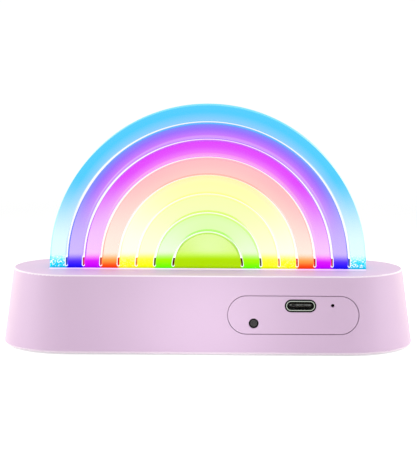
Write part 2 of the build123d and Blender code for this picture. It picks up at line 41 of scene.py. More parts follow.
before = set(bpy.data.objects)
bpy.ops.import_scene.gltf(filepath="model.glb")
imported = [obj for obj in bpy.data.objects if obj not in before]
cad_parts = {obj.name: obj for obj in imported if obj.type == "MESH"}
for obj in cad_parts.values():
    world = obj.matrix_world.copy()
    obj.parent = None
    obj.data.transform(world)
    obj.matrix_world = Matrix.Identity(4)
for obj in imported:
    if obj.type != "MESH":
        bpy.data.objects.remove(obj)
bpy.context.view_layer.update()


def linear(colour: str) -> tuple[float, float, float, float]:
    """Turn an sRGB hex colour into linear light.

    Args:
        colour: the colour as six hex digits after a hash sign.

    Returns:
        Red, green, blue and an alpha of one.
    """
    shares = [int(colour[i:i + 2], 16) / 255 for i in (1, 3, 5)]
    rgb = [c / 12.92 if c <= 0.04045 else ((c + 0.055) / 1.055) ** 2.4 for c in shares]
    return (*rgb, 1.0)


def blended(first: str, second: str, share: float) -> str:
    """Mix two hex colours as they look, not as light.

    Args:
        first: the colour at a share of zero.
        second: the colour at a share of one.
        share: how much of the second goes in.

    Returns:
        The mixed colour as hex.
    """
    pairs = [(int(first[i:i + 2], 16), int(second[i:i + 2], 16)) for i in (1, 3, 5)]
    return "#" + "".join(f"{round(a + (b - a) * share):02X}" for a, b in pairs)


class Graph:
    """The node tree of a material or a world, filled one node at a time."""

    def __init__(self, owner: bpy.types.Material | bpy.types.World) -> None:
        """Empty the owner's node tree.

        Args:
            owner: the material or world that the nodes are for.
        """
        owner.use_nodes = True
        self.tree = owner.node_tree
        self.tree.nodes.clear()

    def add(self, kind: str, inputs: dict[Any, Any], output: int | str = 0, **settings: Any) -> Any:
        """Add one shader node with its settings, values and links.

        Args:
            kind: the node's type without its first word, such as Math.
            inputs: for each input's name or number, a value or the socket that feeds it.
            output: which of the node's outputs to hand back.
            settings: the node's own properties.

        Returns:
            The output's socket, or the node where it has none.
        """
        node = self.tree.nodes.new("ShaderNode" + kind)
        for name, value in settings.items():
            setattr(node, name, value)
        for name, value in inputs.items():
            if isinstance(value, bpy.types.NodeSocket):
                self.tree.links.new(value, node.inputs[name])
            else:
                node.inputs[name].default_value = value
        return node.outputs[output] if node.outputs else node

    def place_mm(self) -> bpy.types.NodeSocket:
        """Add the nodes that give a point's place on the lamp, in millimetres."""
        place = self.add("TexCoord", {}, "Object")
        return self.add("VectorMath", {0: place, "Scale": 1 / MM}, operation="SCALE")

    def surface(self, inputs: dict[str, Any]) -> None:
        """Give the material a Principled shader with these values and sockets."""
        self.add("OutputMaterial", {"Surface": self.add("BsdfPrincipled", inputs)})


def fill_ramp(ramp: bpy.types.NodeSocket, stops: list[tuple[float, tuple[float, ...]]]) -> None:
    """Set the stops of a colour ramp.

    Args:
        ramp: the colour output of the ramp's node.
        stops: at least two, from the lowest up, each a position and a linear colour.
    """
    elements = ramp.node.color_ramp.elements
    for index in (0, -1):
        elements[index].position, elements[index].color = stops[index]
    for position, colour in stops[1:-1]:
        elements.new(position).color = colour


def dress(piece: bpy.types.Object, material: bpy.types.Material) -> None:
    """Give a piece one material in place of those it has."""
    piece.data.materials.clear()
    piece.data.materials.append(material)


class Pattern(Enum):
    """How a surface's fine relief runs."""

    GRAIN = "even grain, as from a spark-eroded mould"
    BRUSHED = "long fine lines along X"
    CELLS = "small rounded cells, as in foam or felt"


@dataclass(frozen=True)
class Finish:
    """A material and how its surface was made.

    The grain is a size in millimetres. It lightens and darkens the colour a little, varies the
    roughness and gives the surface its fine relief. Real grit of under 0.1 mm wouldn't show at the
    photograph's distance, so it is drawn a few times coarser.
    """

    brush_stretch: ClassVar[tuple[float, float, float]] = (0.04, 1.0, 1.0)
    roughness_span: ClassVar[tuple[float, float]] = (0.9, 1.1)

    name: str
    colour: str
    roughness: float
    grain_mm: float = 0.25
    relief_mm: float = 0.01
    mottle: float = 0.06
    metallic: float = 0.0
    ior: float = 1.5
    transmission: float = 0.0
    gloss: float = 0.5
    pattern: Pattern = Pattern.GRAIN

    def inputs(self, graph: Graph) -> dict[str, Any]:
        """Add the nodes of the finish.

        Args:
            graph: the node tree that they go into.

        Returns:
            The values and sockets for a Principled shader.
        """
        place = graph.add("TexCoord", {}, "Object")
        stretch = self.brush_stretch if self.pattern is Pattern.BRUSHED else (1, 1, 1)
        scaled = graph.add("Mapping", {"Vector": place, "Scale": stretch})
        scale = 1 / (self.grain_mm * MM)
        if self.pattern is Pattern.CELLS:
            height = graph.add("TexVoronoi", {"Vector": scaled, "Scale": scale}, "Distance")
        else:
            height = graph.add("TexNoise", {"Vector": scaled, "Scale": scale, "Detail": 3.0})
        dark, light = (linear(blended(self.colour, end, self.mottle)) for end in (BLACK, WHITE))
        colour = graph.add("Mix", {FACTOR: height, FIRST: dark, SECOND: light}, MIXED, data_type="RGBA")
        smooth, rough = (min(1.0, self.roughness * share) for share in self.roughness_span)
        rough = graph.add("MapRange", {0: height, 3: smooth, 4: rough})
        bump = graph.add("Bump", {"Height": height, "Distance": self.relief_mm * MM, "Strength": 1.0})
        return {"Base Color": colour, "Roughness": rough, "Normal": bump, "Metallic": self.metallic,
                "IOR": self.ior, "Specular IOR Level": self.gloss, "Transmission Weight": self.transmission}

    def material(self) -> bpy.types.Material:
        """Build the finish as a material.

        Returns:
            The material, made once and then shared by its name.
        """
        known = bpy.data.materials.get(self.name)
        if known:
            return known
        material = bpy.data.materials.new(self.name)
        graph = Graph(material)
        graph.surface(self.inputs(graph))
        return material


# Injection-moulded ABS from a spark-eroded mould: a soft satin lilac, with no sparkle.
LILAC_HOUSING = Finish("moulded_lilac_abs", "#DFC1DE", 0.46, grain_mm=0.3, relief_mm=0.006, mottle=0.015)
LILAC_PANEL = replace(LILAC_HOUSING, name="moulded_lilac_abs_panel")
LILAC_FLOOR = Finish("moulded_lilac_abs_coarse", "#DDC2DA", 0.6, grain_mm=0.5, relief_mm=0.03, mottle=0.03)
# Zinc-plated steel screws, drawn and rolled: bluish grey with soft highlights.
ZINC_STEEL = Finish("zinc_plated_steel", "#B9BAC0", 0.32, grain_mm=0.2, relief_mm=0.004, mottle=0.08,
                    metallic=1.0)
# Moulded silicone rubber: dull and nearly black, with a faint bloom.
SILICONE = Finish("moulded_silicone_rubber", "#2A282A", 0.75, grain_mm=0.35, relief_mm=0.03, mottle=0.08)
# Moulded white ABS of the light bar's holder and comb: bright and half matt.
WHITE_ABS = Finish("moulded_white_abs", "#ECECEA", 0.5, grain_mm=0.3, relief_mm=0.01, mottle=0.03)
# Glass-fibre board under white solder mask, with the weave just showing.
WHITE_MASK = Finish("white_solder_mask", "#E8E9E6", 0.35, grain_mm=0.4, relief_mm=0.01, mottle=0.04)
# Lamp bodies of white polyphthalamide and their clear yellowish resin.
LAMP_WHITE = Finish("moulded_white_lamp_body", "#F0EDE4", 0.4, grain_mm=0.2, mottle=0.03)
LAMP_RESIN = Finish("cast_lamp_resin", "#F4EFB8", 0.12, grain_mm=0.3, relief_mm=0.004, mottle=0.05,
                    transmission=0.6)
# Extruded vinyl insulation: smooth, with a soft sheen along the wires.
WHITE_VINYL = Finish("white_vinyl", "#E6E4E0", 0.45, grain_mm=0.4, mottle=0.03)
RED_VINYL = Finish("red_vinyl", "#C01C18", 0.42, grain_mm=0.4, mottle=0.05)
BLACK_VINYL = Finish("black_vinyl", "#161616", 0.42, grain_mm=0.4, mottle=0.08)
# Glass-fibre board under green solder mask, glossy over the weave.
GREEN_MASK = Finish("green_solder_mask", "#14532D", 0.25, grain_mm=0.5, relief_mm=0.012, mottle=0.12)
# Moulded epoxy of the chips, and fired ceramic and ferrite: dull and finely grained.
EPOXY = Finish("moulded_epoxy", "#17171A", 0.6, grain_mm=0.15, mottle=0.1)
CERAMIC = Finish("fired_ceramic", "#4A4744", 0.5, grain_mm=0.2, mottle=0.12)
# Drawn stainless steel, nickel plated, of the socket's tube and the switch's dome: fine bright lines.
NICKEL = Finish("nickel_plated_steel", "#C9CBCD", 0.22, grain_mm=0.12, relief_mm=0.002, mottle=0.05,
                metallic=1.0, pattern=Pattern.BRUSHED)
# Moulded liquid-crystal polymer of the socket's tongue and sleeve: deep black with little gloss.
BLACK_POLYMER = Finish("moulded_black_polymer", "#070708", 0.38, grain_mm=0.2, relief_mm=0.006, mottle=0.1,
                       gloss=0.15)
# Gold flash over nickel, painted darker and greyer as the shade inside the tube.
GOLD = Finish("gold_flash", "#8E8674", 0.35, grain_mm=0.15, relief_mm=0.002, mottle=0.05, metallic=1.0)
# Button of moulded black ABS: dull and coarsely mottled.
BLACK_ABS = Finish("moulded_black_abs", "#23221F", 0.45, grain_mm=0.45, relief_mm=0.03, mottle=0.3,
                   gloss=0.08)
# The microphone's drawn aluminium can, lined, and its pressed felt, which swallows the light.
ALUMINIUM = Finish("drawn_aluminium", "#C6C8CA", 0.3, grain_mm=0.15, mottle=0.05, metallic=1.0,
                   pattern=Pattern.BRUSHED)
FELT = Finish("pressed_felt", "#0A0A0A", 0.95, grain_mm=0.12, relief_mm=0.05, mottle=0.12,
              pattern=Pattern.CELLS)
# The pouch cell's embossed aluminium foil, dimpled and bright, and the matt foam pad under it.
FOIL = Finish("embossed_foil", "#C2C4C8", 0.28, grain_mm=0.8, relief_mm=0.03, mottle=0.06, metallic=1.0,
              pattern=Pattern.CELLS)
FOAM = Finish("white_foam", "#DAD9D4", 0.9, grain_mm=0.3, relief_mm=0.08, mottle=0.06, pattern=Pattern.CELLS)
# Moulded nylon of the battery's plug and socket: warm white with a slight sheen.
NYLON = Finish("moulded_nylon", "#EDEADF", 0.4, grain_mm=0.3, mottle=0.04)


@dataclass(frozen=True)
class ArchLight:
    """The colours that one arch glows in.

    Over the crown the tint runs from the inner edge over the middle to the outer edge, because
    the neighbours' light mixes in. In some arches a painted image of the slot's rear edge, as seen
    through the sheet, lies along the inner edge. The legs are paler, and the last millimetres over
    the lamps show the lamps' own colour, in some arches with white specks.

    The wall of the slot below the arch shows the under colour, and that of the slot above it the
    line colour. Towards the rear both take a painted glint, a reflection, as strongly as their shares say.
    """

    inner: str
    middle: str
    outer: str
    under: str
    line: str
    leg: str
    leg_line: str
    foot: str
    foot_line: str
    under_glint: float = 0.0
    line_glint: float = 0.0
    glint: str = WHITE
    specks: float = 0.0
    painted_rear_edge: str = ""


@dataclass
class ArchMap:
    """Shader nodes that say where on the rainbow a point lies, and what colour it glows in."""

    graph: Graph
    sheet: "RainbowSheet"

    def __post_init__(self) -> None:
        """Work out the place from Object coordinates, in millimetres and radians."""
        graph, sheet = self.graph, self.sheet
        self.place = graph.place_mm()
        self.across, self.depth, z = (graph.add("SeparateXYZ", {0: self.place}, axis) for axis in "XYZ")
        self.over_top = graph.add("Math", {0: z, 1: sheet.top_z}, operation="SUBTRACT")
        rise = graph.add("Math", {0: z, 1: sheet.crown_centre_z}, operation="SUBTRACT")
        rise = graph.add("Math", {0: rise, 1: 0.0}, operation="MAXIMUM")
        spoke = graph.add("CombineXYZ", {"X": self.across, "Z": rise})
        reach = graph.add("VectorMath", {0: spoke}, "Value", operation="LENGTH")
        self.radius = graph.add("Math", {0: rise, 1: -sheet.centre_slope, 2: reach}, operation="MULTIPLY_ADD")
        self.share = graph.add("Math", {0: self.radius, 1: sheet.ramp_span}, operation="DIVIDE")
        side = graph.add("Math", {0: self.across}, operation="ABSOLUTE")
        self.angle = graph.add("Math", {0: rise, 1: side}, operation="ARCTAN2")

    def colour(self, stops: list[tuple[float, str]]) -> bpy.types.NodeSocket:
        """Run through colours from the core outwards.

        Args:
            stops: shares of the sheet's ramp_span, each with a colour.

        Returns:
            The colour at the point's radius.
        """
        ramp = self.graph.add("ValToRGB", {0: self.share})
        fill_ramp(ramp, [(position, linear(colour)) for position, colour in stops])
        return ramp


@dataclass(frozen=True)
class LitAcrylic:
    """Polished cast acrylic lit from below.

    It lets the light behind it through, tinted, and adds a glow of its own. The cut edges are
    satin. Over the crown they glow in a stronger tint, painted whiter towards the rear as a
    reflection. On the legs the walls that face the middle are painted white at the rear as a
    reflection, and the slots' round ends are painted white as a highlight.

    The shares of tint, glow and haze are those of the crowns and legs, then those of the feet. A
    pair of millimetres, degrees or radii says where a change starts and where it is complete, and
    a slope moves such a place for each millimetre of the arch's radius.
    """

    ior: float = 1.49
    roughness: float = 0.04
    reflection: float = 0.1
    tint_shares: tuple[float, float] = (0.92, 0.12)
    glow_shares: tuple[float, float] = (0.06, 0.8)
    haze_shares: tuple[float, float] = (0.012, 0.0)
    foot_band_mm: tuple[float, float] = (5.6, 3.0)
    foot_band_slope: float = -0.027
    foot_deep_mm: tuple[float, float] = (2.4, 0.5)
    foot_line_mm: tuple[float, float] = (0.5, 0.3)
    foot_line_share: float = 0.75
    pale_below_mm: tuple[float, float] = (0.0, 3.0)
    pale_below_slope: tuple[float, float] = (0.17, 0.95)
    pale_top_mm: float = 29.0
    lean: float = 0.09
    lean_radii_mm: tuple[float, float] = (44.0, 32.0)
    speck_mm: float = 0.4
    speck_span: tuple[float, float] = (0.53, 0.57)
    edge_roughness: float = 0.5
    edge_gloss: float = 0.05
    edge_base: float = 0.3
    edge_light: float = 0.8
    edge_grain_mm: float = 0.25
    edge_relief_mm: float = 0.004
    crown_rear_mm: tuple[float, float] = (-2.94, 1.3)
    crown_rear_slope: tuple[float, float] = (0.087, 0.02)
    leg_rear_mm: tuple[float, float] = (0.8, 1.6)
    crown_degrees: tuple[float, float] = (35.0, 65.0)
    stop_mm: tuple[float, float] = (3.7, 3.3)
    slot_end_mm: tuple[float, float] = (1.0, 0.85)
    rim_margin_mm: float = 1.0

    def upper_colour(self, here: ArchMap) -> bpy.types.NodeSocket:
        """Colour the crowns and the legs; the inner arches are a little paler on the left.

        Args:
            here: where on the rainbow a point lies.

        Returns:
            The colour's socket.
        """
        graph = here.graph
        crown, leg = (here.colour(stops) for stops in here.sheet.face_stops()[:2])
        low, high = (graph.add("Math", {0: here.radius, 1: slope, 2: start}, operation="MULTIPLY_ADD")
                     for start, slope in zip(self.pale_below_mm, self.pale_below_slope))
        high = graph.add("Math", {0: high, 1: self.pale_top_mm}, operation="MINIMUM")
        start, full = self.lean_radii_mm
        lean = graph.add("MapRange", {0: here.radius, 1: start, 2: full}, **SMOOTH)
        lean = graph.add("Math", {0: lean, 1: self.lean}, operation="MULTIPLY")
        height = graph.add("Math", {0: here.across, 1: lean, 2: here.over_top}, operation="MULTIPLY_ADD")
        fade = graph.add("MapRange", {0: height, 1: low, 2: high}, **SMOOTH)
        return graph.add("Mix", {FACTOR: fade, FIRST: leg, SECOND: crown}, MIXED, data_type="RGBA")

    def foot_colour(self, here: ArchMap) -> bpy.types.NodeSocket:
        """Colour the feet, which are speckled in some arches and deeper towards the very bottom.

        Args:
            here: where on the rainbow a point lies.

        Returns:
            The colour's socket.
        """
        graph = here.graph
        foot, deep = (here.colour(stops) for stops in here.sheet.face_stops()[2:])
        low, line = (graph.add("MapRange", {0: here.over_top, 1: start, 2: full}, **SMOOTH)
                     for start, full in (self.foot_deep_mm, self.foot_line_mm))
        foot = graph.add("Mix", {FACTOR: low, FIRST: foot, SECOND: deep}, MIXED, data_type="RGBA")
        # The real specks are finer than a pixel of the photograph, so they are drawn as coarse as shows.
        specks = graph.add("TexNoise", {"Vector": here.place, "Scale": 1 / self.speck_mm, "Detail": 2.0})
        start, full = self.speck_span
        specks = graph.add("MapRange", {0: specks, 1: start, 2: full}, **SMOOTH)
        amount = here.colour(here.sheet.speck_stops())
        specks = graph.add("Math", {0: specks, 1: amount}, operation="MULTIPLY")
        foot = graph.add("Mix", {FACTOR: specks, FIRST: foot, SECOND: linear(WHITE)}, MIXED, data_type="RGBA")
        dark = graph.add("VectorMath", {0: deep, "Scale": self.foot_line_share}, operation="SCALE")
        return graph.add("Mix", {FACTOR: line, FIRST: foot, SECOND: dark}, MIXED, data_type="RGBA")

    def face_material(self, sheet: "RainbowSheet") -> bpy.types.Material:
        """Build the material of the polished faces.

        Args:
            sheet: the sheet whose arches it follows.

        Returns:
            The material.
        """
        material = bpy.data.materials.new("lit_cast_acrylic")
        graph = Graph(material)
        here = ArchMap(graph, sheet)
        slope = self.foot_band_slope
        start, full = (graph.add("Math", {0: here.radius, 1: slope, 2: place}, operation="MULTIPLY_ADD")
                       for place in self.foot_band_mm)
        band = graph.add("MapRange", {0: here.over_top, 1: start, 2: full}, **SMOOTH)
        upper, foot = self.upper_colour(here), self.foot_colour(here)
        shown = graph.add("Mix", {FACTOR: band, FIRST: upper, SECOND: foot}, MIXED, data_type="RGBA")
        passed, glow, haze = (graph.add("MapRange", {0: band, 3: above, 4: below})
                              for above, below in (self.tint_shares, self.glow_shares, self.haze_shares))
        tint = graph.add("VectorMath", {0: shown, "Scale": passed}, operation="SCALE")
        light = graph.add("VectorMath", {0: shown, "Scale": glow}, operation="SCALE")
        light = graph.add("VectorMath", {0: light, 1: haze}, operation="ADD")
        graph.surface({
            "Base Color": tint, "Roughness": self.roughness, "IOR": self.ior, "Transmission Weight": 1.0,
            "Specular Tint": (self.reflection,) * 3 + (1.0,), "Emission Color": light,
            "Emission Strength": 1.0})
        return material

    def edge_material(self, sheet: "RainbowSheet") -> bpy.types.Material:
        """Build the material of the satin cut edges.

        Args:
            sheet: the sheet whose arches it follows.

        Returns:
            The material.
        """
        material = bpy.data.materials.new("satin_acrylic_edge")
        graph = Graph(material)
        here = ArchMap(graph, sheet)
        crown, leg, stop, amount, glint = (here.colour(stops) for stops in sheet.wall_stops())
        own_leg = here.colour(sheet.face_stops()[1])
        # Towards the rear the crown's walls are painted with a glint, a reflection.
        start, full = (graph.add("Math", {0: here.radius, 1: slope, 2: place}, operation="MULTIPLY_ADD")
                       for place, slope in zip(self.crown_rear_mm, self.crown_rear_slope))
        rear = graph.add("MapRange", {0: here.depth, 1: start, 2: full}, **SMOOTH)
        rear = graph.add("Math", {0: rear, 1: amount}, operation="MULTIPLY")
        crown = graph.add("Mix", {FACTOR: rear, FIRST: crown, SECOND: glint}, MIXED, data_type="RGBA")
        # On the legs the walls facing the middle are painted white towards the rear, a reflection.
        start, full = self.leg_rear_mm
        rear = graph.add("MapRange", {0: here.depth, 1: start, 2: full}, **SMOOTH)
        leg = graph.add("Mix", {FACTOR: rear, FIRST: own_leg, SECOND: leg}, MIXED, data_type="RGBA")
        start, full = (math.radians(angle) for angle in self.crown_degrees)
        over = graph.add("MapRange", {0: here.angle, 1: start, 2: full}, **SMOOTH)
        upper = graph.add("Mix", {FACTOR: over, FIRST: leg, SECOND: crown}, MIXED, data_type="RGBA")
        # Beside the stops the walls facing the middle are painted white, and so are the slots' round ends:
        # painted highlights.
        beside, end = (graph.add("MapRange", {0: here.over_top, 1: start, 2: full}, **SMOOTH)
                       for start, full in (self.stop_mm, self.slot_end_mm))
        upper = graph.add("Mix", {FACTOR: beside, FIRST: upper, SECOND: stop}, MIXED, data_type="RGBA")
        limit = sheet.rim_radius - self.rim_margin_mm
        inside = graph.add("Math", {0: here.radius, 1: limit}, operation="LESS_THAN")
        end = graph.add("Math", {0: end, 1: inside}, operation="MULTIPLY")
        shown = graph.add("Mix", {FACTOR: end, FIRST: upper, SECOND: linear(WHITE)}, MIXED, data_type="RGBA")
        grain = graph.add("TexNoise", {"Vector": here.place, "Scale": 1 / self.edge_grain_mm, "Detail": 2.0})
        bump = graph.add("Bump", {"Height": grain, "Distance": self.edge_relief_mm * MM})
        base = graph.add("VectorMath", {0: shown, "Scale": self.edge_base}, operation="SCALE")
        light = graph.add("VectorMath", {0: shown, "Scale": self.edge_light}, operation="SCALE")
        graph.surface({
            "Base Color": base, "Roughness": self.edge_roughness, "IOR": self.ior, "Normal": bump,
            "Specular IOR Level": self.edge_gloss, "Emission Color": light, "Emission Strength": 1.0})
        return material


@dataclass(frozen=True)
class ShadeStops:
    """Stops in the slots' feet that glow in painted light: dark as the shade there, glinting on one
    side, with darker streaks, and white as a painted highlight where they face up.
    """

    ior: float = 1.49
    roughness: float = 0.3
    gloss: float = 0.05
    streak_mm: float = 0.909
    streak_span: tuple[float, float] = (0.4, 0.6)
    streak_share: float = 0.65
    top_facing: tuple[float, float] = (0.4, 0.6)
    base_share: float = 0.2
    glow: float = 0.9

    def material(self, sheet: "RainbowSheet") -> bpy.types.Material:
        """Build the material of the stops.

        Args:
            sheet: the sheet whose slots they stand in.

        Returns:
            The material.
        """
        material = bpy.data.materials.new("stops_of_painted_shade_and_glints")
        graph = Graph(material)
        here = ArchMap(graph, sheet)
        colour = here.colour(sheet.stop_stops())
        grain = graph.add("TexNoise", {"Vector": here.place, "Scale": 1 / self.streak_mm, "Detail": 2.0})
        facing = graph.add("SeparateXYZ", {0: graph.add("NewGeometry", {}, "True Normal")}, "Z")
        streak, top = (graph.add("MapRange", {0: value, 1: start, 2: full}, **SMOOTH)
                       for value, (start, full) in ((grain, self.streak_span), (facing, self.top_facing)))
        dark = graph.add("VectorMath", {0: colour, "Scale": self.streak_share}, operation="SCALE")
        shown = graph.add("Mix", {FACTOR: streak, FIRST: dark, SECOND: colour}, MIXED, data_type="RGBA")
        # Where the stops face up they are painted white as a highlight.
        shown = graph.add("Mix", {FACTOR: top, FIRST: shown, SECOND: linear(WHITE)}, MIXED, data_type="RGBA")
        base = graph.add("VectorMath", {0: shown, "Scale": self.base_share}, operation="SCALE")
        graph.surface({
            "Base Color": base, "Roughness": self.roughness, "IOR": self.ior,
            "Specular IOR Level": self.gloss, "Emission Color": shown, "Emission Strength": self.glow})
        return material


@dataclass
class RainbowSheet:
    """The clear sheet with its seven arched slots, and the dark stops that paint the shade in the slots'
    feet.
    """

    top_z: float = 24.4
    thickness: float = 6.0
    core_radius: float = 10.76
    rim_radius: float = 49.25
    slot_count: int = 7
    slot_width: float = 0.7
    slot_floor_height: float = 0.6
    slot_leg_least: float = 0.1
    pitch_shrink: float = 0.1
    core_centre_height: float = 0.5
    rim_centre_height: float = 1.7
    tongue_low_z: float = 16.8
    lug_top_z: float = 22.2
    lug_x: float = 51.75
    edge_break: float = 0.14
    arc_steps: int = 96
    slot_end_steps: int = 8
    sharp_degrees: float = 30.0
    face_normal_least: float = 0.9
    acrylic: LitAcrylic = field(default_factory=LitAcrylic)
    stops: ShadeStops = field(default_factory=ShadeStops)
    # Where the painted image of the slot's rear edge lies past an arch's inner edge.
    painted_rear_edge_mm: tuple[float, ...] = (0.32, 0.46, 0.62, 0.8)
    ramp_reach: float = 1.02
    middle_share: float = 0.6
    line_width: float = 0.3
    lights: tuple[ArchLight, ...] = (
        ArchLight(inner="#DCF4A4", middle="#DEF5AA", outer="#DCF4A0", under="#DCF4A0", line="#BEE458",
                  leg="#CDEC70", leg_line="#A4D43C", foot="#AEDA00", foot_line="#AEDA00", line_glint=1.0),
        ArchLight(inner="#DAFBAA", middle="#DCFCB0", outer="#D6FBA0", under="#B4F470", line="#D2F880",
                  leg="#E4FBD8", leg_line="#BCEE64", foot="#A2FF00", foot_line="#78FF00", line_glint=1.0),
        ArchLight(inner="#F2FEB6", middle="#F4FDB2", outer="#F2FCB0", under="#D8F878", line="#F0FCA4",
                  leg="#FAFFD6", leg_line="#F0FAA0", foot="#F8FE30", foot_line="#F0FC04", under_glint=0.2,
                  line_glint=0.85, specks=0.25),
        ArchLight(inner="#FBFAB2", middle="#FFFAAC", outer="#F8EEB4", under="#F6F49C", line="#FAF2B0",
                  leg="#FFFFE8", leg_line="#FFF6BE", foot="#FCFC34", foot_line="#FCF80C", under_glint=0.5,
                  line_glint=0.1, glint="#FFF8E8", specks=0.5),
        ArchLight(inner="#FCC8C2", middle="#FFBCBE", outer="#FFB8BE", under="#F4CCC0", line="#F0B2B8",
                  leg="#FEE2D8", leg_line="#FFB4A4", foot="#FFA04A", foot_line="#FA4A10", under_glint=0.3,
                  line_glint=0.7, glint="#FFE2E0"),
        ArchLight(inner="#EC7CF0", middle="#DE4AFC", outer="#DC3CF4", under="#F6C0F6", line="#CC48EC",
                  leg="#EEBCFA", leg_line="#B43CF0", foot="#D81CFA", foot_line="#C800FC", under_glint=0.8,
                  line_glint=0.7, glint="#FFC4FA", painted_rear_edge="#F6B4EC"),
        ArchLight(inner="#CB76F8", middle="#9B6AFF", outer="#708AFC", under="#C89CF8", line="#58AEFB",
                  leg="#C4AEFA", leg_line="#3C7CF0", foot="#5A34FE", foot_line="#2410F4", under_glint=0.8,
                  line_glint=0.9, glint="#F4F2FF", painted_rear_edge="#E2BCFF"),
        ArchLight(inner="#8CCAFA", middle="#4CC8FF", outer="#50CAFC", under="#9CD4FF", line="#68D2FF",
                  leg="#D8F4FE", leg_line="#D2F8FE", foot="#10D6F8", foot_line="#08CCF4", under_glint=0.7,
                  specks=1.0),
    )
    # For each slot's stop, a painted glint and a painted shade.
    stop_colours: tuple[tuple[str, str], ...] = (
        ("#6A1C00", "#2C0C00"), ("#545000", "#2C2000"), ("#FFA000", "#D06800"), ("#FF1800", "#C40400"),
        ("#F00008", "#480010"), ("#F00040", "#1C0058"), ("#0050E0", "#002470"))
    stop_shifts_mm: tuple[float, ...] = (0.0, 0.07, 0.24, 0.28)

    @property
    def centre_slope(self) -> float:
        """How much an arch's centre rises for each millimetre of its radius."""
        return (self.rim_centre_height - self.core_centre_height) / (self.rim_radius - self.core_radius)

    @property
    def crown_centre_z(self) -> float:
        """Where the centre of an arch of no radius would be."""
        return self.top_z + self.core_centre_height - self.centre_slope * self.core_radius

    @property
    def ramp_span(self) -> float:
        """The radius at which the colour ramps end, just past the rim."""
        return self.rim_radius * self.ramp_reach

    def slot_radii(self) -> list[float]:
        """Space the slots between core and rim, a little closer from one to the next.

        Returns:
            Radii of the slots' middles, from the core outwards.
        """
        mean_pitch = (self.rim_radius - self.core_radius) / self.slot_count
        radii = [self.core_radius]
        for k in range(self.slot_count - 1):
            radii.append(radii[-1] + mean_pitch + ((self.slot_count - 1) / 2 - k) * self.pitch_shrink)
        return radii

    def arch_edges(self) -> list[tuple[float, float]]:
        """Each arch's inner and outer radius, from the core outwards."""
        edges = [0.0, *self.slot_radii(), self.rim_radius]
        half = self.slot_width / 2
        return [(inner + half, outer - half) for inner, outer in zip(edges, edges[1:])]

    def face_stops(self) -> list[list[tuple[float, str]]]:
        """Colour stops of the polished faces, from the core outwards.

        Returns:
            Stops for the crowns, the legs, the feet and the feet's lowest line, each a share of
            ramp_span and a colour.
        """
        ramps: list[list[tuple[float, str]]] = [[], [], [], []]
        for light, (inner, outer) in zip(self.lights, self.arch_edges()):
            middle = inner + self.middle_share * (outer - inner)
            radii = (inner, middle, outer - self.line_width, outer)
            low, mid, high, end = (radius / self.ramp_span for radius in radii)
            # A painted image of the slot's rear edge, seen through the sheet, lies near the inner edge of
            # some arches.
            near = [(inner + shift) / self.ramp_span for shift in self.painted_rear_edge_mm]
            painted_rear_edge = (light.inner, light.painted_rear_edge, light.painted_rear_edge, light.inner) if light.painted_rear_edge else ()
            ramps[0] += [(low, light.inner), *zip(near, painted_rear_edge), (mid, light.middle), (end, light.outer)]
            ramps[1] += [(low, light.leg), (high, light.leg), (end, light.leg_line)]
            ramps[2] += [(low, light.foot), (end, light.foot)]
            ramps[3] += [(low, light.foot_line), (end, light.foot_line)]
        return ramps

    def wall_stops(self) -> list[list[tuple[float, str]]]:
        """Colour stops of the walls between the arches, from the core outwards.

        Returns:
            Stops for the walls over the crown; on the legs, whose white is a painted reflection; and
            beside the stops, whose white is a painted highlight; greys that say how much painted glint the
            rear of each wall takes over the crown, and the colour of that glint.
        """
        ramps: list[list[tuple[float, str]]] = [[], [], [], [], []]
        for light, (inner, outer) in zip(self.lights, self.arch_edges()):
            under, line = (blended(BLACK, WHITE, share) for share in (light.under_glint, light.line_glint))
            pairs = ((light.under, light.line), (WHITE, light.leg_line), (WHITE, light.foot), (under, line),
                     (WHITE, light.glint))
            for ramp, colours in zip(ramps, pairs):
                ramp += [(radius / self.ramp_span, colour) for radius, colour in zip((inner, outer), colours)]
        return ramps

    def speck_stops(self) -> list[tuple[float, str]]:
        """Stops that say how strongly each foot is speckled, as greys."""
        return [(radius / self.ramp_span, blended(BLACK, WHITE, light.specks))
                for light, edges in zip(self.lights, self.arch_edges()) for radius in edges]

    def stop_stops(self) -> list[tuple[float, str]]:
        """Stops across each slot: a bright side of painted glint, a dark side of painted shade and a white
        line of painted highlight beyond it.
        """
        return [((radius + shift) / self.ramp_span, colour)
                for radius, (bright, dark) in zip(self.slot_radii(), self.stop_colours)
                for shift, colour in zip(self.stop_shifts_mm, (bright, dark, dark, WHITE))]

    def build(self) -> None:
        """Make the sheet with its broken edges, and dress the stops."""
        sheet = self.shaped_sheet()
        dress(sheet, self.acrylic.face_material(self))
        sheet.data.materials.append(self.acrylic.edge_material(self))
        for face in sheet.data.polygons:
            cut_edge = abs(face.normal.y) < self.face_normal_least
            face.material_index = int(cut_edge and face.center.z > self.top_z * MM)
        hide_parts("rainbow_plate")
        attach(sheet, "lamp")
        dress(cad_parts["slot_stops"], self.stops.material(self))
        LOG.info("rainbow sheet: %d faces", len(sheet.data.polygons))

    def arch_points(self, radius: float, centre: float, foot_z: float) -> list[tuple[float, float]]:
        """Points over an arch from its right foot to its left one.

        Args:
            radius: the arch's radius.
            centre: the height of its centre.
            foot_z: where its straight legs end.

        Returns:
            Pairs of x and z in millimetres.
        """
        turns = [math.pi * k / self.arc_steps for k in range(self.arc_steps + 1)]
        crown = [(radius * math.cos(t), centre + radius * math.sin(t)) for t in turns]
        standing = [(x, z) for x, z in crown if z > foot_z + self.slot_leg_least]
        return [(radius, foot_z), *standing, (-radius, foot_z)]

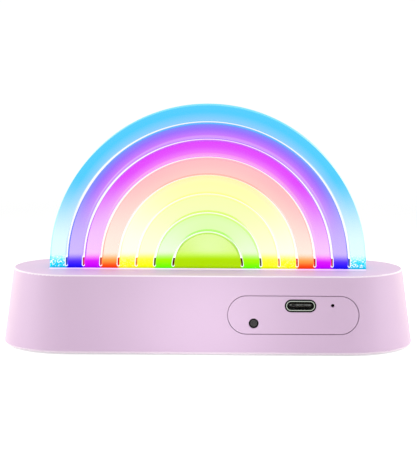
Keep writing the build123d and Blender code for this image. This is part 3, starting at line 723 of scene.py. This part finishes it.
    def slot_points(self, radius: float) -> list[tuple[float, float]]:
        """Points round one slot, whose two ends are round.

        Args:
            radius: the radius of the slot's middle.

        Returns:
            Pairs of x and z in millimetres.
        """
        half = self.slot_width / 2
        centre = self.crown_centre_z + self.centre_slope * radius
        end = self.top_z + self.slot_floor_height + half
        turns = [math.pi * k / self.slot_end_steps for k in range(1, self.slot_end_steps)]
        left = [(-radius - half * math.cos(t), end - half * math.sin(t)) for t in turns]
        right = [(radius - half * math.cos(t), end - half * math.sin(t)) for t in turns]
        inner = self.arch_points(radius - half, centre, end)[::-1]
        return [*self.arch_points(radius + half, centre, end), *left, *inner, *right]

    def shaped_sheet(self) -> bpy.types.Object:
        """Make the sheet as a flat curve with broken edges, then turn it into a mesh.

        Returns:
            The sheet's object, at the origin.
        """
        curve = bpy.data.curves.new("sheet_outline", "CURVE")
        curve.dimensions = "2D"
        curve.fill_mode = "BOTH"
        curve.extrude = (self.thickness / 2 - self.edge_break) * MM
        curve.bevel_depth = self.edge_break * MM
        curve.bevel_resolution = 0
        curve.offset = -self.edge_break * MM
        rim_centre = self.crown_centre_z + self.centre_slope * self.rim_radius
        low, high = self.tongue_low_z, self.lug_top_z
        crown = self.arch_points(self.rim_radius, rim_centre, high)
        lugs = [(-self.lug_x, high), (-self.lug_x, low), (self.lug_x, low), (self.lug_x, high)]
        for points in [[*crown, *lugs], *[self.slot_points(r) for r in self.slot_radii()]]:
            spline = curve.splines.new("POLY")
            spline.points.add(len(points) - 1)
            spline.points.foreach_set("co", [v for x, z in points for v in (x * MM, z * MM, 0, 1)])
            spline.use_cyclic_u = True
        holder = bpy.data.objects.new("sheet_outline", curve)
        mesh = bpy.data.meshes.new_from_object(holder)
        bpy.data.objects.remove(holder)
        mesh.transform(Matrix.Rotation(math.pi / 2, 4, "X"))
        sheet = bpy.data.objects.new("lit_rainbow_sheet", mesh)
        bpy.context.scene.collection.objects.link(sheet)
        smooth_mesh(mesh, self.sharp_degrees)
        return sheet


def smooth_mesh(mesh: bpy.types.Mesh, sharp_degrees: float) -> None:
    """Weld a mesh, turn its faces outwards and smooth it except at its sharp edges.

    Args:
        mesh: the mesh to finish.
        sharp_degrees: the angle between faces past which an edge stays sharp.
    """
    bm = bmesh.new()
    bm.from_mesh(mesh)
    bmesh.ops.remove_doubles(bm, verts=bm.verts, dist=WELD_MM * MM)
    bmesh.ops.recalc_face_normals(bm, faces=bm.faces)
    for face in bm.faces:
        face.smooth = True
    limit = math.radians(sharp_degrees)
    for edge in bm.edges:
        edge.smooth = len(edge.link_faces) == 2 and edge.calc_face_angle() < limit
    bm.to_mesh(mesh)
    bm.free()
    mesh.materials.clear()


@dataclass
class Housing:
    """The hollow base, its port panel, its floor, screws and feet.

    A pair of numbers says where a change starts and where it is complete: in millimetres below
    the top, from the middle plane or from the middle of the length, or as the share of a face's
    normal that points up.
    """

    top_z: float = 24.4
    # Painted highlight on the rounded top edge, and painted light on the underside against its shade.
    painted_edge_light_colour: str = "#FBEEF8"
    # Painted tint and shade on the top near the sheet, of the light that spills from it.
    painted_spill_colour: str = "#DAB0F2"
    # A painted glowing line of the light that leaks along the sheet's foot.
    painted_leak_colour: str = "#E8C8FC"
    painted_leak_glow: float = 0.45
    edge_facing: tuple[float, float] = (0.2, 0.45)
    flat_facing: tuple[float, float] = (0.85, 0.97)
    under_facing: tuple[float, float] = (-0.1, -0.5)
    edge_below_mm: tuple[float, float] = (1.2, 0.7)
    flat_below_mm: tuple[float, float] = (0.2, 0.1)
    spill_mm: tuple[float, float] = (19.0, 5.0)
    spill_half_mm: tuple[float, float] = (34.0, 20.0)
    line_mm: tuple[float, float] = (6.4, 5.4)
    line_half_mm: tuple[float, float] = (49.5, 48.9)

    def shell_material(self) -> bpy.types.Material:
        """Build the moulded lilac of the base.

        Its rounded top edge is painted lighter as a highlight, and its underside lighter against its
        shade. The flat top is painted with the tint and shade of the light that spills from the sheet,
        and with a glowing line of the light that leaks along the sheet's foot.

        Returns:
            The material.
        """
        material = bpy.data.materials.new("moulded_lilac_abs_base")
        graph = Graph(material)
        inputs = LILAC_HOUSING.inputs(graph)
        place = graph.place_mm()
        across, depth, height = (graph.add("SeparateXYZ", {0: place}, axis) for axis in "XYZ")
        across, depth = (graph.add("Math", {0: value}, operation="ABSOLUTE") for value in (across, depth))
        facing = graph.add("SeparateXYZ", {0: graph.add("NewGeometry", {}, "True Normal")}, "Z")
        below = graph.add("Math", {0: self.top_z, 1: height}, operation="SUBTRACT")
        rounding = [(facing, self.edge_facing), (facing, self.flat_facing[::-1]), (below, self.edge_below_mm)]
        flat = [(facing, self.flat_facing), (below, self.flat_below_mm)]
        # Zones of painted light: a highlight on the top edge, lift against the shade underneath, the tint and
        # shade of the sheet's spilt light on the top, and the glow of its leak along the foot.
        zones = (
            (self.painted_edge_light_colour, rounding),
            (self.painted_edge_light_colour, [(facing, self.under_facing)]),
            (self.painted_spill_colour, [*flat, (depth, self.spill_mm), (across, self.spill_half_mm)]),
            (self.painted_leak_colour, [*flat, (depth, self.line_mm), (across, self.line_half_mm)]))
        colour = inputs["Base Color"]
        for tint, limits in zones:
            share = 1.0
            for value, (start, full) in limits:
                share = graph.add("MapRange", {0: value, 1: start, 2: full, 4: share}, **SMOOTH)
            mixed = {FACTOR: share, FIRST: colour, SECOND: linear(tint)}
            colour = graph.add("Mix", mixed, MIXED, data_type="RGBA")
        # The last zone is the painted line of leaking light along the sheet's foot, and its share makes that
        # line glow too.
        light = graph.add("VectorMath", {0: linear(self.painted_leak_colour)[:3], "Scale": share}, operation="SCALE")
        inputs.update({"Base Color": colour, "Emission Color": light, "Emission Strength": self.painted_leak_glow})
        graph.surface(inputs)
        return material

    def build(self) -> None:
        """Dress the housing's pieces."""
        finishes = {"port_panel": LILAC_PANEL, "bottom_cover": LILAC_FLOOR,
                    "cover_screws": ZINC_STEEL, "rubber_feet": SILICONE}
        materials = {name: finish.material() for name, finish in finishes.items()}
        materials["base_shell"] = self.shell_material()
        for name, material in materials.items():
            dress(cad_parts[name], material)
        LOG.info("housing: %d pieces", len(materials))


@dataclass
class PortSide:
    """The charging socket, the push button with its switch, and the microphone."""

    tube_front_mm: float = -19.31
    tube_centre_mm: tuple[float, float, float] = (28.75, 0.0, 15.4)
    tube_straight_mm: float = 2.87
    lip_inset_mm: tuple[float, float] = (0.12, 0.05)
    lip_reach_mm: tuple[float, float] = (1.52, 1.44)
    lip_colour: str = "#B6BEB2"
    # Painted shade inside the tube, round its lip's outer edge and round the button's dish.
    painted_shade_colour: str = "#050505"
    shade_gloss: float = 0.15
    # Painted glints low in the tube and along the tongue's front edge.
    painted_glint_colour: str = "#8C908C"
    glint_facing: float = 0.6
    glint_mm: float = 0.769
    glint_span: tuple[float, float] = (0.45, 0.6)
    # A painted highlight on the tongue's front edge, in patches.
    tongue_highlight_facing: float = -0.6
    tongue_highlight_above_mm: float = 15.35
    tongue_highlight_mm: float = 0.625
    tongue_highlight_span: tuple[float, float] = (0.4, 0.65)
    button_mm: tuple[float, float, float] = (14.47, 0.0, 10.05)
    dish_mm: tuple[float, float] = (1.15, 1.0)

    def tube_material(self) -> bpy.types.Material:
        """Build the socket's tube: a bright lip, with painted shade inside and round the lip's outer edge,
        and a few painted glints low down.

        Returns:
            The material.
        """
        material = bpy.data.materials.new("nickel_plated_tube")
        graph = Graph(material)
        inputs = NICKEL.inputs(graph)
        place = graph.place_mm()
        depth = graph.add("SeparateXYZ", {0: place}, "Y")
        inset = graph.add("Math", {0: depth, 1: self.tube_front_mm}, operation="SUBTRACT")
        spoke = graph.add("VectorMath", {0: place, 1: self.tube_centre_mm}, operation="SUBTRACT")
        along, rise = (graph.add("SeparateXYZ", {0: spoke}, axis) for axis in "XZ")
        along = graph.add("Math", {0: along}, operation="ABSOLUTE")
        along = graph.add("Math", {0: along, 1: self.tube_straight_mm}, operation="SUBTRACT")
        along = graph.add("Math", {0: along, 1: 0.0}, operation="MAXIMUM")
        spoke = graph.add("CombineXYZ", {"X": along, "Z": rise})
        reach = graph.add("VectorMath", {0: spoke}, "Value", operation="LENGTH")
        front, thin = (graph.add("MapRange", {0: value, 1: start, 2: full})
                       for value, (start, full) in ((inset, self.lip_inset_mm), (reach, self.lip_reach_mm)))
        lip = graph.add("Math", {0: front, 1: thin}, operation="MULTIPLY")
        facing = graph.add("SeparateXYZ", {0: graph.add("NewGeometry", {}, "True Normal")}, "Z")
        low = graph.add("Math", {0: facing, 1: self.glint_facing}, operation="GREATER_THAN")
        patches = graph.add("TexNoise", {"Vector": place, "Scale": 1 / self.glint_mm, "Detail": 2.0})
        start, full = self.glint_span
        patches = graph.add("MapRange", {0: patches, 1: start, 2: full})
        glint = graph.add("Math", {0: low, 1: patches}, operation="MULTIPLY")
        # The inside and the lip's outer edge are painted near-black as shade, with painted glints on the
        # lower inner wall; only the lip keeps the metal.
        shade, bright, rim = (linear(c) for c in (self.painted_shade_colour, self.painted_glint_colour, self.lip_colour))
        inside = graph.add("Mix", {FACTOR: glint, FIRST: shade, SECOND: bright}, MIXED, data_type="RGBA")
        colour = graph.add("Mix", {FACTOR: lip, FIRST: inside, SECOND: rim}, MIXED, data_type="RGBA")
        inputs.update({"Base Color": colour, "Metallic": lip, "Specular IOR Level": self.shade_gloss})
        graph.surface(inputs)
        return material

    def tongue_material(self) -> bpy.types.Material:
        """Build the tongue's black polymer, whose front edge has a painted grey highlight in patches.

        Returns:
            The material.
        """
        material = bpy.data.materials.new("moulded_black_polymer_tongue")
        graph = Graph(material)
        inputs = BLACK_POLYMER.inputs(graph)
        place = graph.place_mm()
        # A painted grey highlight in patches on the upper half of the front edge.
        facing = graph.add("SeparateXYZ", {0: graph.add("NewGeometry", {}, "True Normal")}, "Y")
        front = graph.add("Math", {0: facing, 1: self.tongue_highlight_facing}, operation="LESS_THAN")
        height = graph.add("SeparateXYZ", {0: place}, "Z")
        high = graph.add("Math", {0: height, 1: self.tongue_highlight_above_mm}, operation="GREATER_THAN")
        patches = graph.add("TexNoise", {"Vector": place, "Scale": 1 / self.tongue_highlight_mm, "Detail": 2.0})
        start, full = self.tongue_highlight_span
        tongue_highlight = graph.add("MapRange", {0: patches, 1: start, 2: full})
        for share in (front, high):
            tongue_highlight = graph.add("Math", {0: tongue_highlight, 1: share}, operation="MULTIPLY")
        mixed = {FACTOR: tongue_highlight, FIRST: inputs["Base Color"], SECOND: linear(self.painted_glint_colour)}
        inputs["Base Color"] = graph.add("Mix", mixed, MIXED, data_type="RGBA")
        graph.surface(inputs)
        return material

    def button_material(self) -> bpy.types.Material:
        """Build the button's black: a mottled dish, its rim painted deep black as the shade in the hole round
        it.

        Returns:
            The material.
        """
        material = bpy.data.materials.new("moulded_black_abs_button")
        graph = Graph(material)
        inputs = BLACK_ABS.inputs(graph)
        spoke = graph.add("VectorMath", {0: graph.place_mm(), 1: self.button_mm}, operation="SUBTRACT")
        spoke = graph.add("VectorMath", {0: spoke, 1: (1, 0, 1)}, operation="MULTIPLY")
        reach = graph.add("VectorMath", {0: spoke}, "Value", operation="LENGTH")
        # Outside the dish the cap is painted deep black as shade.
        start, full = self.dish_mm
        dish = graph.add("MapRange", {0: reach, 1: start, 2: full})
        mixed = {FACTOR: dish, FIRST: linear(self.painted_shade_colour), SECOND: inputs["Base Color"]}
        inputs["Base Color"] = graph.add("Mix", mixed, MIXED, data_type="RGBA")
        graph.surface(inputs)
        return material

    def build(self) -> None:
        """Dress the pieces behind and in the port panel."""
        finishes = {"usb_contacts": GOLD, "port_sleeve": BLACK_POLYMER,
                    "switch_plunger": BLACK_POLYMER, "switch_body": BLACK_POLYMER, "switch_dome": NICKEL,
                    "microphone": ALUMINIUM, "mic_felt": FELT}
        materials = {name: finish.material() for name, finish in finishes.items()}
        materials.update({"usb_shell": self.tube_material(), "usb_tongue": self.tongue_material(),
                          "button_cap": self.button_material()})
        for name, material in materials.items():
            dress(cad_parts[name], material)
        LOG.info("port side: %d pieces", len(materials))


@dataclass
class Insides:
    """The light bar, the main board and the battery."""

    def build(self) -> None:
        """Dress the pieces inside the base."""
        finishes = {"light_holder": WHITE_ABS, "holder_screws": ZINC_STEEL, "light_divider": WHITE_ABS,
                    "led_strip_board": WHITE_MASK, "led_packages": LAMP_WHITE, "led_lenses": LAMP_RESIN,
                    "led_wires": WHITE_VINYL, "main_board": GREEN_MASK, "board_screws": ZINC_STEEL,
                    "control_chips": EPOXY, "board_components": CERAMIC, "battery": FOIL,
                    "battery_pad": FOAM, "battery_socket": NYLON, "battery_plug": NYLON,
                    "battery_lead_positive": RED_VINYL, "battery_lead_negative": BLACK_VINYL}
        for name, finish in finishes.items():
            dress(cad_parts[name], finish.material())
        LOG.info("insides: %d pieces", len(finishes))


@dataclass(frozen=True)
class SoftBox:
    """A flat lamp of the studio, which the camera doesn't see; its radiance is that of its face."""

    name: str
    place_mm: tuple[float, float, float]
    target_mm: tuple[float, float, float]
    size_mm: tuple[float, float]
    radiance: float
    spread_degrees: float = 180.0
    colour: str = "#FFFFFF"

    def build(self) -> None:
        """Hang the lamp and turn it towards its target."""
        light = bpy.data.lights.new(self.name, "AREA")
        light.shape = "RECTANGLE"
        light.size, light.size_y = (s * MM for s in self.size_mm)
        light.energy = self.radiance * math.pi * light.size * light.size_y
        light.spread = math.radians(self.spread_degrees)
        light.color = linear(self.colour)[:3]
        lamp = bpy.data.objects.new(self.name, light)
        place, target = (Vector(p) * MM for p in (self.place_mm, self.target_mm))
        lamp.location = place
        lamp.rotation_euler = (target - place).to_track_quat("-Z", "Y").to_euler()
        lamp.visible_camera = False
        lamp.visible_transmission = False
        bpy.context.scene.collection.objects.link(lamp)


@dataclass
class Studio:
    """A plain pale floor, a white surround, soft lamps and the camera of the photograph's view.

    The floor's lifts are pairs of a distance from the lamp in metres and of the white that is
    added there in the camera's view only. The angles of the camera are in radians.
    """

    ambient: float = 0.6
    floor_size: float = 14.0
    paper_colour: str = "#F2F2F2"
    paper_grain_mm: float = 0.5
    paper_relief_mm: float = 0.01
    floor_lifts: tuple[tuple[float, float], ...] = ((0.0, 0.7), (0.09, 0.7), (0.15, 0.24), (0.5, 0.48))
    camera_mm: tuple[float, float, float] = (16.33, -745.19, 136.59)
    yaw: float = -0.02167
    pitch: float = 0.13388
    roll: float = -0.00246
    lens_mm: float = 188.95
    sensor_mm: float = 36.0
    view_reach: float = 20.0
    lamps: tuple[SoftBox, ...] = (
        SoftBox("gridded_key", (-1, -420, 60), (-1, -20, 12), (24, 24), 0.68, 10.0),
        SoftBox("left", (-260, -60, 80), (0, 0, 10), (160, 160), 2.3),
        SoftBox("right", (260, -60, 80), (0, 0, 10), (160, 160), 2.1),
        SoftBox("left_rear", (-220, 150, 70), (-40, 0, 12), (160, 130), 2.2, colour="#FFFFCC"),
        SoftBox("right_rear", (220, 150, 70), (40, 0, 12), (160, 130), 1.85, colour="#FFFFCC"),
        SoftBox("top", (0, 0, 320), (0, 0, 0), (300, 200), 1.9),
    )

    def build(self) -> None:
        """Set up the surround, the floor, the lamps and the camera."""
        scene = bpy.context.scene
        scene.view_settings.view_transform = "Standard"
        self.surround(scene)
        self.floor()
        for lamp in self.lamps:
            lamp.build()
        self.camera(scene)
        LOG.info("studio: %d lamps", len(self.lamps))

    def seen_directly(self, graph: Graph) -> bpy.types.NodeSocket:
        """Tell the camera's rays, also those by way of gloss or glass, from those that light a surface.

        Args:
            graph: the node tree that asks.

        Returns:
            One for the camera's rays and nought for the others.
        """
        rays = [graph.add("LightPath", {}, f"Is {kind} Ray") for kind in ("Camera", "Glossy", "Transmission")]
        both = graph.add("Math", {0: rays[0], 1: rays[1]}, operation="MAXIMUM")
        return graph.add("Math", {0: both, 1: rays[2]}, operation="MAXIMUM")

    def surround(self, scene: bpy.types.Scene) -> None:
        """Light the scene from all round, and show white where the camera looks past the floor.

        Args:
            scene: the scene that gets the world.
        """
        world = bpy.data.worlds.new("white_surround")
        graph = Graph(world)
        strength = graph.add("MapRange", {0: self.seen_directly(graph), 3: self.ambient, 4: 1.0})
        sky = graph.add("Background", {"Color": linear(WHITE), "Strength": strength})
        graph.add("OutputWorld", {"Surface": sky})
        scene.world = world

    def floor(self) -> None:
        """Lay a matt white floor that looks white yet keeps the lamp's shadow."""
        bm = bmesh.new()
        bmesh.ops.create_grid(bm, x_segments=1, y_segments=1, size=self.floor_size / 2)
        mesh = bpy.data.meshes.new("studio_floor")
        bm.to_mesh(mesh)
        bm.free()
        floor = bpy.data.objects.new("studio_floor", mesh)
        bpy.context.scene.collection.objects.link(floor)
        material = bpy.data.materials.new("matt_white_paper")
        graph = Graph(material)
        place = graph.add("TexCoord", {}, "Object")
        grain = graph.add("TexNoise", {"Vector": place, "Scale": 1 / (self.paper_grain_mm * MM)})
        bump = graph.add("Bump", {"Height": grain, "Distance": self.paper_relief_mm * MM})
        paper = graph.add("BsdfDiffuse", {"Color": linear(self.paper_colour), "Normal": bump})
        reach = graph.add("VectorMath", {0: place}, "Value", operation="LENGTH")
        lift = graph.add("ValToRGB", {0: reach})
        fill_ramp(lift, [(distance, (grey, grey, grey, 1)) for distance, grey in self.floor_lifts])
        lift = graph.add("Math", {0: self.seen_directly(graph), 1: lift}, operation="MULTIPLY")
        veil = graph.add("Emission", {"Color": linear(WHITE), "Strength": lift})
        both = graph.add("AddShader", {0: paper, 1: veil})
        graph.add("OutputMaterial", {"Surface": both})
        dress(floor, material)

    def camera(self, scene: bpy.types.Scene) -> None:
        """Place the camera where the photograph was taken from.

        Args:
            scene: the scene that gets the camera.
        """
        right_flat = Vector((math.cos(self.yaw), -math.sin(self.yaw), 0))
        ahead_flat = Vector((math.sin(self.yaw), math.cos(self.yaw), 0))
        down = Vector((0, 0, -1))
        ahead = math.cos(self.pitch) * ahead_flat + math.sin(self.pitch) * down
        up_flat = math.sin(self.pitch) * ahead_flat - math.cos(self.pitch) * down
        right = math.cos(self.roll) * right_flat - math.sin(self.roll) * up_flat
        up = math.sin(self.roll) * right_flat + math.cos(self.roll) * up_flat
        data = bpy.data.cameras.new("photograph_view")
        data.lens = self.lens_mm
        data.sensor_width = self.sensor_mm
        data.clip_end = self.view_reach
        camera = bpy.data.objects.new("photograph_view", data)
        turn = Matrix((right, up, -ahead)).transposed().to_4x4()
        camera.matrix_world = Matrix.Translation(Vector(self.camera_mm) * MM) @ turn
        scene.collection.objects.link(camera)
        scene.camera = camera


def main() -> None:
    """Build the looks of the whole lamp."""
    logging.basicConfig(level=logging.INFO, format="%(name)s: %(message)s")
    Studio().build()
    Housing().build()
    RainbowSheet().build()
    PortSide().build()
    Insides().build()


if __name__ == "__main__":
    main()
